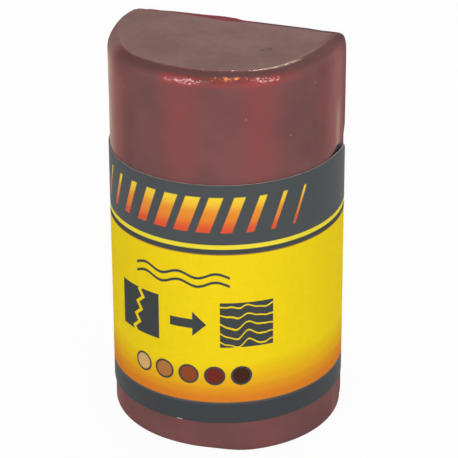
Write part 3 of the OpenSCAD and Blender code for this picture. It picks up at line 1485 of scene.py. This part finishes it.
        def inward(point: Vector, axis: Vector) -> float:
            """Weigh the part of the draw at a point that goes along an axis."""
            out = Vector((point.x, point.y, 0.0))
            turn = math.degrees(math.atan2(point.x, -point.y))
            part = read_table(self.rim_line, turn) * self.rolled(point.z)
            return part * max(0.0, -out.normalized().dot(axis)) * ease(
                out.length, 4 * MM, 9 * MM)

        for name, axis in (("X", Vector((1.0, 0.0, 0.0))), ("X", Vector((-1.0, 0.0, 0.0))),
                           ("Y", Vector((0.0, 1.0, 0.0)))):
            group = weigh(bar, "draw", lambda p: inward(p, axis))
            push(bar, group, name, MM if max(axis) > 0.0 else -MM)

    def edge_weight(self, point: Vector) -> float:
        """Weigh the right back corner, which is crisper than the left.

        Args:
            point: A point on the bar.

        Returns:
            The weight from 0 to 1.
        """
        x, y = self.corner_centre(Hand.RIGHT)
        if point.x < x or point.y < y:
            return 0.0
        start = math.atan2(y, x)
        part = (math.atan2(point.y - y, point.x - x) - start) / (math.pi / 2 - start)
        tall = ease(point.z, 0.0, MM) * (
            1.0 - ease(point.z, self.shoulder_foot - 0.3 * MM, self.shoulder_foot + MM))
        return max(0.0, math.sin(math.pi * min(1.0, max(0.0, part)))) * tall

    def dent_weight(self, point: Vector) -> float:
        """Weigh the small hollow in the right corner, at the head of the label.

        Args:
            point: A point on the bar.

        Returns:
            The weight from 0 to 1.
        """
        turn = math.degrees(math.atan2(point.x, -point.y))
        across = ease(turn, *self.dent_angles[:2]) * (1.0 - ease(turn, *self.dent_angles[2:]))
        height = point.z / MM
        return across * ease(height, *self.dent_heights[:2]) * (
            1.0 - ease(height, *self.dent_heights[2:]))

    def dress(self, bar: bpy.types.Object, effects: Effects) -> None:
        """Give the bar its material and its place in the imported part.

        Args:
            bar: The modelled bar.
            effects: The shared node groups.
        """
        bar.data.materials.append(WaxFinish().material(effects))
        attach(bar, "root")
        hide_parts("wax_bar")


@dataclass
class WrapStrip:
    """A strip wrapped once round the bar, folded at the back corners and lapped on the back."""

    name: str
    node: str
    slot: str
    lift: float
    thickness: float
    trim: float = 0.0
    bar: WaxBar = field(default_factory=WaxBar)
    rise: float = 4.0 * MM
    height: float = 28.4 * MM
    fold_round: float = 0.3 * MM
    ply: float = 0.15 * MM
    head_end: float = 3.0 * MM
    tail_end: float = -4.0 * MM
    ramp: float = 1.0 * MM
    skew: float = 0.0153
    fold_steps: int = 6
    front_steps: int = 220
    rows: int = 40
    flat_cuts: int = 40
    dip: float = 1.6 * MM
    foot_slip: float = 0.18 * MM
    dip_line: tuple[tuple[float, float], ...] = (
        (-5.6, 0.0), (-2.8, 0.15), (-0.4, 1.0), (1.2, 1.0), (3.6, 0.0))

    @property
    def radius(self) -> float:
        """The radius of the strip's inner face on the round front."""
        return self.bar.radius + self.lift

    @property
    def fold(self) -> tuple[float, float]:
        """The centre of the right fold."""
        y = self.bar.flat_y - self.fold_round
        return math.sqrt((self.bar.radius - self.fold_round) ** 2 - y * y), y

    @property
    def fold_turn(self) -> float:
        """How far the strip turns in a fold."""
        return math.pi / 2 - math.atan2(self.fold[1], self.fold[0])

    @property
    def front_turn(self) -> float:
        """How far the strip turns on the round front."""
        return math.pi + 2 * math.atan2(self.fold[1], self.fold[0])

    @property
    def lengths(self) -> tuple[float, ...]:
        """The lengths of head, fold, front, fold, back and tail, in order."""
        bend = (self.fold_round + self.lift) * self.fold_turn
        climb = math.hypot(self.ramp, self.ply)
        return (self.head_end - self.trim + self.fold[0], bend, self.radius * self.front_turn,
                bend, self.fold[0] - self.head_end - self.ramp,
                climb + self.head_end - self.tail_end - self.trim)

    @property
    def run(self) -> float:
        """The whole length of the strip."""
        return sum(self.lengths)

    @property
    def front_run(self) -> float:
        """How far along the strip the front of the bar is."""
        return self.lengths[0] + self.lengths[1] + 0.5 * self.lengths[2]

    def run_at(self, point: Vector) -> float:
        """Find how far along the strip a point on it is.

        Args:
            point: A point on the strip's inner face.

        Returns:
            The distance from the head end.
        """
        head, bend, front, *_ = self.lengths
        x, y = point.x, point.y
        level = self.bar.flat_y + self.lift
        if y > level + TOUCH or (y > level - TOUCH and x > self.head_end):
            if y > level + self.ply - TOUCH:
                return self.run - (x - self.tail_end - self.trim)
            return head + 2 * bend + front + (self.fold[0] - x)
        if y > level - TOUCH and abs(x) < self.fold[0] + TOUCH:
            return self.head_end - self.trim - x
        if y > abs(x) * math.tan(math.atan2(self.fold[1], self.fold[0])) - TOUCH:
            turn = math.atan2(y - self.fold[1], abs(x) - self.fold[0])
            part = (self.fold_round + self.lift) * (math.pi / 2 - turn)
            return head + part if x < 0 else head + 2 * bend + front - part
        return head + bend + 0.5 * front + self.radius * math.atan2(x, -y)

    def lay(self) -> bpy.types.Object:
        """Model the strip's inner face by laying it round the bar.

        Returns:
            The piece, an open sheet so far.
        """
        x, y = self.fold
        level = self.bar.flat_y + self.lift
        middle = self.rise + 0.5 * self.height
        panel = self.lengths[0]
        clear_selection()
        bpy.ops.mesh.primitive_plane_add(size=1.0, rotation=(math.pi / 2, 0.0, 0.0),
                                         location=(0.5 * panel - x, level, middle))
        strip = name_new_piece(self.name)
        up = (0.0, 0.0, 1.0)
        with editing(strip):
            bpy.ops.mesh.select_all(action="SELECT")
            bpy.ops.transform.resize(value=(panel, 1.0, self.height - 2 * self.trim),
                                     center_override=(0.5 * panel - x, level, middle))
            pick(strip, Element.EDGE, lambda e: all(v.co.x < TOUCH - x for v in e.verts))
            bpy.ops.mesh.spin(steps=self.fold_steps, angle=-self.fold_turn,
                              center=(-x, y, 0.0), axis=up)
            bpy.ops.mesh.spin(steps=self.front_steps, angle=-self.front_turn,
                              center=(0.0, 0.0, 0.0), axis=up)
            bpy.ops.mesh.spin(steps=self.fold_steps, angle=-self.fold_turn,
                              center=(x, y, 0.0), axis=up)
            for move in ((self.head_end + self.ramp - x, 0.0), (-self.ramp, self.ply),
                         (self.tail_end + self.trim - self.head_end, 0.0)):
                bpy.ops.mesh.extrude_region_move(
                    TRANSFORM_OT_translate={"value": (move[0], move[1], 0.0)})
            pick(strip, Element.EDGE,
                 lambda e: abs(e.verts[0].co.z - e.verts[1].co.z) > 0.9 * self.height)
            bpy.ops.mesh.subdivide(number_cuts=self.rows)
            pick(strip, Element.EDGE, lambda e: e.calc_length() > 3 * MM)
            bpy.ops.mesh.subdivide(number_cuts=self.flat_cuts)
            bpy.ops.mesh.select_all(action="SELECT")
            bpy.ops.mesh.remove_doubles(threshold=1e-7)
            bpy.ops.mesh.normals_make_consistent(inside=False)
        return strip

    def map_flat(self, strip: bpy.types.Object) -> None:
        """Give the strip a UV map as it lies flat, before it is wrapped.

        Args:
            strip: The laid strip.
        """
        layer = strip.data.uv_layers.new(name="flat_strip")
        for loop in strip.data.loops:
            point = strip.data.vertices[loop.vertex_index].co
            layer.data[loop.index].uv = (self.run_at(point) / self.run,
                                         (point.z - self.rise) / self.height)

    def thicken(self, strip: bpy.types.Object) -> None:
        """Set the strip a little askew, dip its worn corner and give it its thickness.

        Args:
            strip: The laid and mapped strip.
        """
        outward = sum(polygon.normal.x * polygon.center.x + polygon.normal.y * polygon.center.y
                      for polygon in strip.data.polygons)
        if outward < 0.0:
            with editing(strip):
                bpy.ops.mesh.select_all(action="SELECT")
                bpy.ops.mesh.flip_normals()
        top = self.rise + self.height
        corner_run = self.front_run + 0.5 * self.lengths[2]
        worn = weigh(strip, "worn", lambda p: ease(p.z, top - 6 * MM, top) * read_table(
            self.dip_line, (self.run_at(p) - corner_run) / MM))
        askew = weigh(strip, "askew", lambda p: self.run_at(p) / self.run)
        foot = weigh(strip, "foot", lambda p: 1.0 - ease(p.z, self.rise, self.rise + 3 * MM))
        push(strip, foot, "Z", -self.foot_slip)
        push(strip, worn, "Z", -self.dip)
        push(strip, askew, "Z", self.skew * self.run, middle=0.0)
        clear_selection()
        strip.select_set(True)
        bpy.context.view_layer.objects.active = strip
        with editing(strip):
            bpy.ops.mesh.select_all(action="SELECT")
            bpy.ops.transform.translate(value=(0.0, 0.0, -self.skew * self.front_run))
        solid = strip.modifiers.new("thickness", "SOLIDIFY")
        solid.thickness = self.thickness
        solid.offset = 1.0
        solid.use_even_offset = True
        solid.material_offset_rim = 1
        bpy.ops.object.modifier_apply(modifier=solid.name)
        strip.vertex_groups.clear()
        smooth(strip, 40.0)

    def build(self) -> bpy.types.Object:
        """Model the strip.

        Returns:
            The finished mesh, without its materials.
        """
        strip = self.lay()
        self.map_flat(strip)
        for material in (None, None):
            strip.data.materials.append(material)
        self.thicken(strip)
        return strip

    def dress(self, strip: bpy.types.Object, face: bpy.types.Material,
              rim: bpy.types.Material) -> None:
        """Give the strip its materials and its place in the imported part.

        Args:
            strip: The modelled strip.
            face: The material of its two faces.
            rim: The material of its cut edges.
        """
        strip.data.materials[0] = face
        strip.data.materials[1] = rim
        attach(strip, "root")
        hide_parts(self.node)


@dataclass(frozen=True)
class SoftBox:
    """One soft lamp, placed by angles round the object as seen from the camera."""

    name: str
    bearing: float
    elevation: float
    distance: float
    width: float
    tall: float
    power: float
    use: Use = Use.WASH
    colour: tuple[float, float, float] = (1.0, 1.0, 1.0)

    def place(self, centre: Vector, camera_bearing: float) -> None:
        """Add the lamp, turned to the object.

        Args:
            centre: What the lamp looks at.
            camera_bearing: The camera's own bearing in degrees.
        """
        turn = math.radians(camera_bearing + self.bearing)
        lift = math.radians(self.elevation)
        out = Vector((math.sin(turn) * math.cos(lift), -math.cos(turn) * math.cos(lift),
                      math.sin(lift)))
        data = bpy.data.lights.new(self.name, "AREA")
        data.shape = "RECTANGLE"
        data.size = self.width
        data.size_y = self.tall
        data.energy = self.power
        data.color = self.colour
        lamp = bpy.data.objects.new(self.name, data)
        lamp.location = centre + out * self.distance
        lamp.rotation_euler = out.to_track_quat("Z", "Y").to_euler()
        lamp.visible_glossy = self.use is Use.GLINT
        lamp.visible_diffuse = self.use is Use.WASH
        bpy.context.scene.collection.objects.link(lamp)


@dataclass
class Studio:
    """The white sweep, the soft light and the camera."""

    bearing: float = 19.4353
    elevation: float = 26.1989
    roll: float = -0.2506
    distance: float = 271.038 * MM
    aim: tuple[float, float] = (0.194 * MM, 21.158 * MM)
    focal_pixels: float = 2449.03
    sensor: float = 36.0
    sky_low: float = 1.0
    sky_high: float = 0.12
    floor_lift: float = 0.95
    floor_side: float = 3.0
    lamps: tuple[SoftBox, ...] = (
        SoftBox("wash_left", -40.0, 28.0, 0.6, 0.4, 0.3, 1.35),
        SoftBox("wash_right", 36.0, 28.0, 0.6, 0.4, 0.3, 1.45),
        SoftBox("wash_top", 0.0, 85.0, 0.6, 0.4, 0.4, 0.58),
        SoftBox("wash_back", 165.0, 35.0, 0.6, 0.5, 0.3, 1.2),
        SoftBox("glint_left", -47.5, 44.0, 0.6, 0.21, 0.34, 2.6, Use.GLINT),
        SoftBox("glint_middle", 2.0, 75.0, 0.6, 0.04, 0.2, 1.0, Use.GLINT, (1.0, 0.32, 0.09)),
        SoftBox("glint_right", 43.5, 44.0, 0.6, 0.18, 0.34, 1.8, Use.GLINT),
        SoftBox("glint_brim", 171.0, 52.0, 0.6, 0.05, 0.3, 1.3, Use.GLINT, (1.0, 0.8, 0.5)),
        SoftBox("glint_rim", 160.0, 52.0, 0.6, 0.22, 0.3, 7.0, Use.GLINT, (1.0, 0.82, 0.58)),
    )

    def add_camera(self) -> None:
        """Add the camera where the photograph was taken from."""
        turn, lift = math.radians(self.bearing), math.radians(self.elevation)
        back = Vector((math.sin(turn) * math.cos(lift), -math.cos(turn) * math.cos(lift),
                       math.sin(lift)))
        right = Vector((math.cos(turn), math.sin(turn), 0.0))
        up = back.cross(right)
        roll = math.radians(self.roll)
        side = right * math.cos(roll) + up * math.sin(roll)
        crown = back.cross(side)
        target = right * self.aim[0] + Vector((0.0, 0.0, self.aim[1]))
        data = bpy.data.cameras.new("photo_camera")
        data.sensor_fit = "HORIZONTAL"
        data.sensor_width = self.sensor
        data.lens = self.sensor * self.focal_pixels / PHOTO_SIDE
        data.clip_start = 0.01
        camera = bpy.data.objects.new("photo_camera", data)
        place = target + back * self.distance
        turned = Matrix((side, crown, back)).transposed().to_4x4()
        camera.matrix_world = Matrix.Translation(place) @ turned
        bpy.context.scene.collection.objects.link(camera)
        bpy.context.scene.camera = camera

    def add_floor(self) -> None:
        """Lay a white floor that keeps a soft shadow."""
        clear_selection()
        bpy.ops.mesh.primitive_plane_add(size=self.floor_side, location=(0.0, 0.0, 0.0))
        floor = name_new_piece("studio_floor")
        material = bpy.data.materials.new("white_floor")
        material.use_nodes = True
        bench = Bench(material.node_tree)
        shader = material.node_tree.nodes["Principled BSDF"]
        shader.inputs["Base Color"].default_value = shade(236, 236, 235)
        shader.inputs["Roughness"].default_value = 0.9
        shader.inputs["Specular IOR Level"].default_value = 0.1
        glow = bench.node("ShaderNodeEmission")
        glow.inputs["Strength"].default_value = 1.0
        path = bench.node("ShaderNodeLightPath")
        rays = bench.math("ADD", path.outputs["Is Camera Ray"], path.outputs["Is Glossy Ray"])
        rays = bench.math("ADD", rays, path.outputs["Is Transmission Ray"], clamp=True)
        seen = bench.math("MULTIPLY", rays, self.floor_lift)
        mixed = bench.node("ShaderNodeMixShader")
        bench.feed(mixed.inputs[0], seen)
        bench.tree.links.new(shader.outputs[0], mixed.inputs[1])
        bench.tree.links.new(glow.outputs[0], mixed.inputs[2])
        bench.tree.links.new(mixed.outputs[0],
                             material.node_tree.nodes["Material Output"].inputs["Surface"])
        floor.data.materials.append(material)

    def add_sky(self) -> None:
        """Set a surround that is white at the horizon and dims overhead."""
        world = bpy.data.worlds.new("soft_surround")
        world.use_nodes = True
        bpy.context.scene.world = world
        bench = Bench(world.node_tree)
        up = bench.split(bench.node("ShaderNodeTexCoord").outputs["Generated"])[2]
        ground = world.node_tree.nodes["Background"]
        ground.inputs["Color"].default_value = (1.0, 1.0, 1.0, 1.0)
        bench.feed(ground.inputs["Strength"],
                   bench.fade(up, 0.1, 0.42, self.sky_low, self.sky_high))

    def build(self) -> None:
        """Add the camera, floor, surround and lamps."""
        bpy.context.scene.view_settings.view_transform = "Standard"
        self.add_camera()
        self.add_floor()
        self.add_sky()
        centre = Vector((0.0, 0.0, 30 * MM))
        for lamp in self.lamps:
            lamp.place(centre, self.bearing)


def main() -> None:
    """Build the pieces and the studio."""
    logging.basicConfig(level=logging.INFO, format="%(name)s: %(message)s")
    Studio().build()
    effects = Effects()
    wax = WaxBar()
    bar = wax.build()
    wax.dress(bar, effects)
    LOG.info("%s has %d faces", bar.name, len(bar.data.polygons))
    gum = GumFinish().material(effects)
    paper = PaperFinish().material(effects)
    coat = WrapStrip("adhesive_coat", "label_adhesive", "adhesive", 0.0, 0.05 * MM,
                     trim=0.15 * MM)
    label = WrapStrip("wrap_label", "label_paper", "label", 0.05 * MM, 0.1 * MM)
    for strip, face, rim in (
            (coat, gum, gum),
            (label, PrintFinish().material(effects, label.run / MM, label.front_run / MM,
                                           label.height / MM), paper)):
        piece = strip.build()
        strip.dress(piece, face, rim)
        LOG.info("%s has %d faces", piece.name, len(piece.data.polygons))


if __name__ == "__main__":
    main()
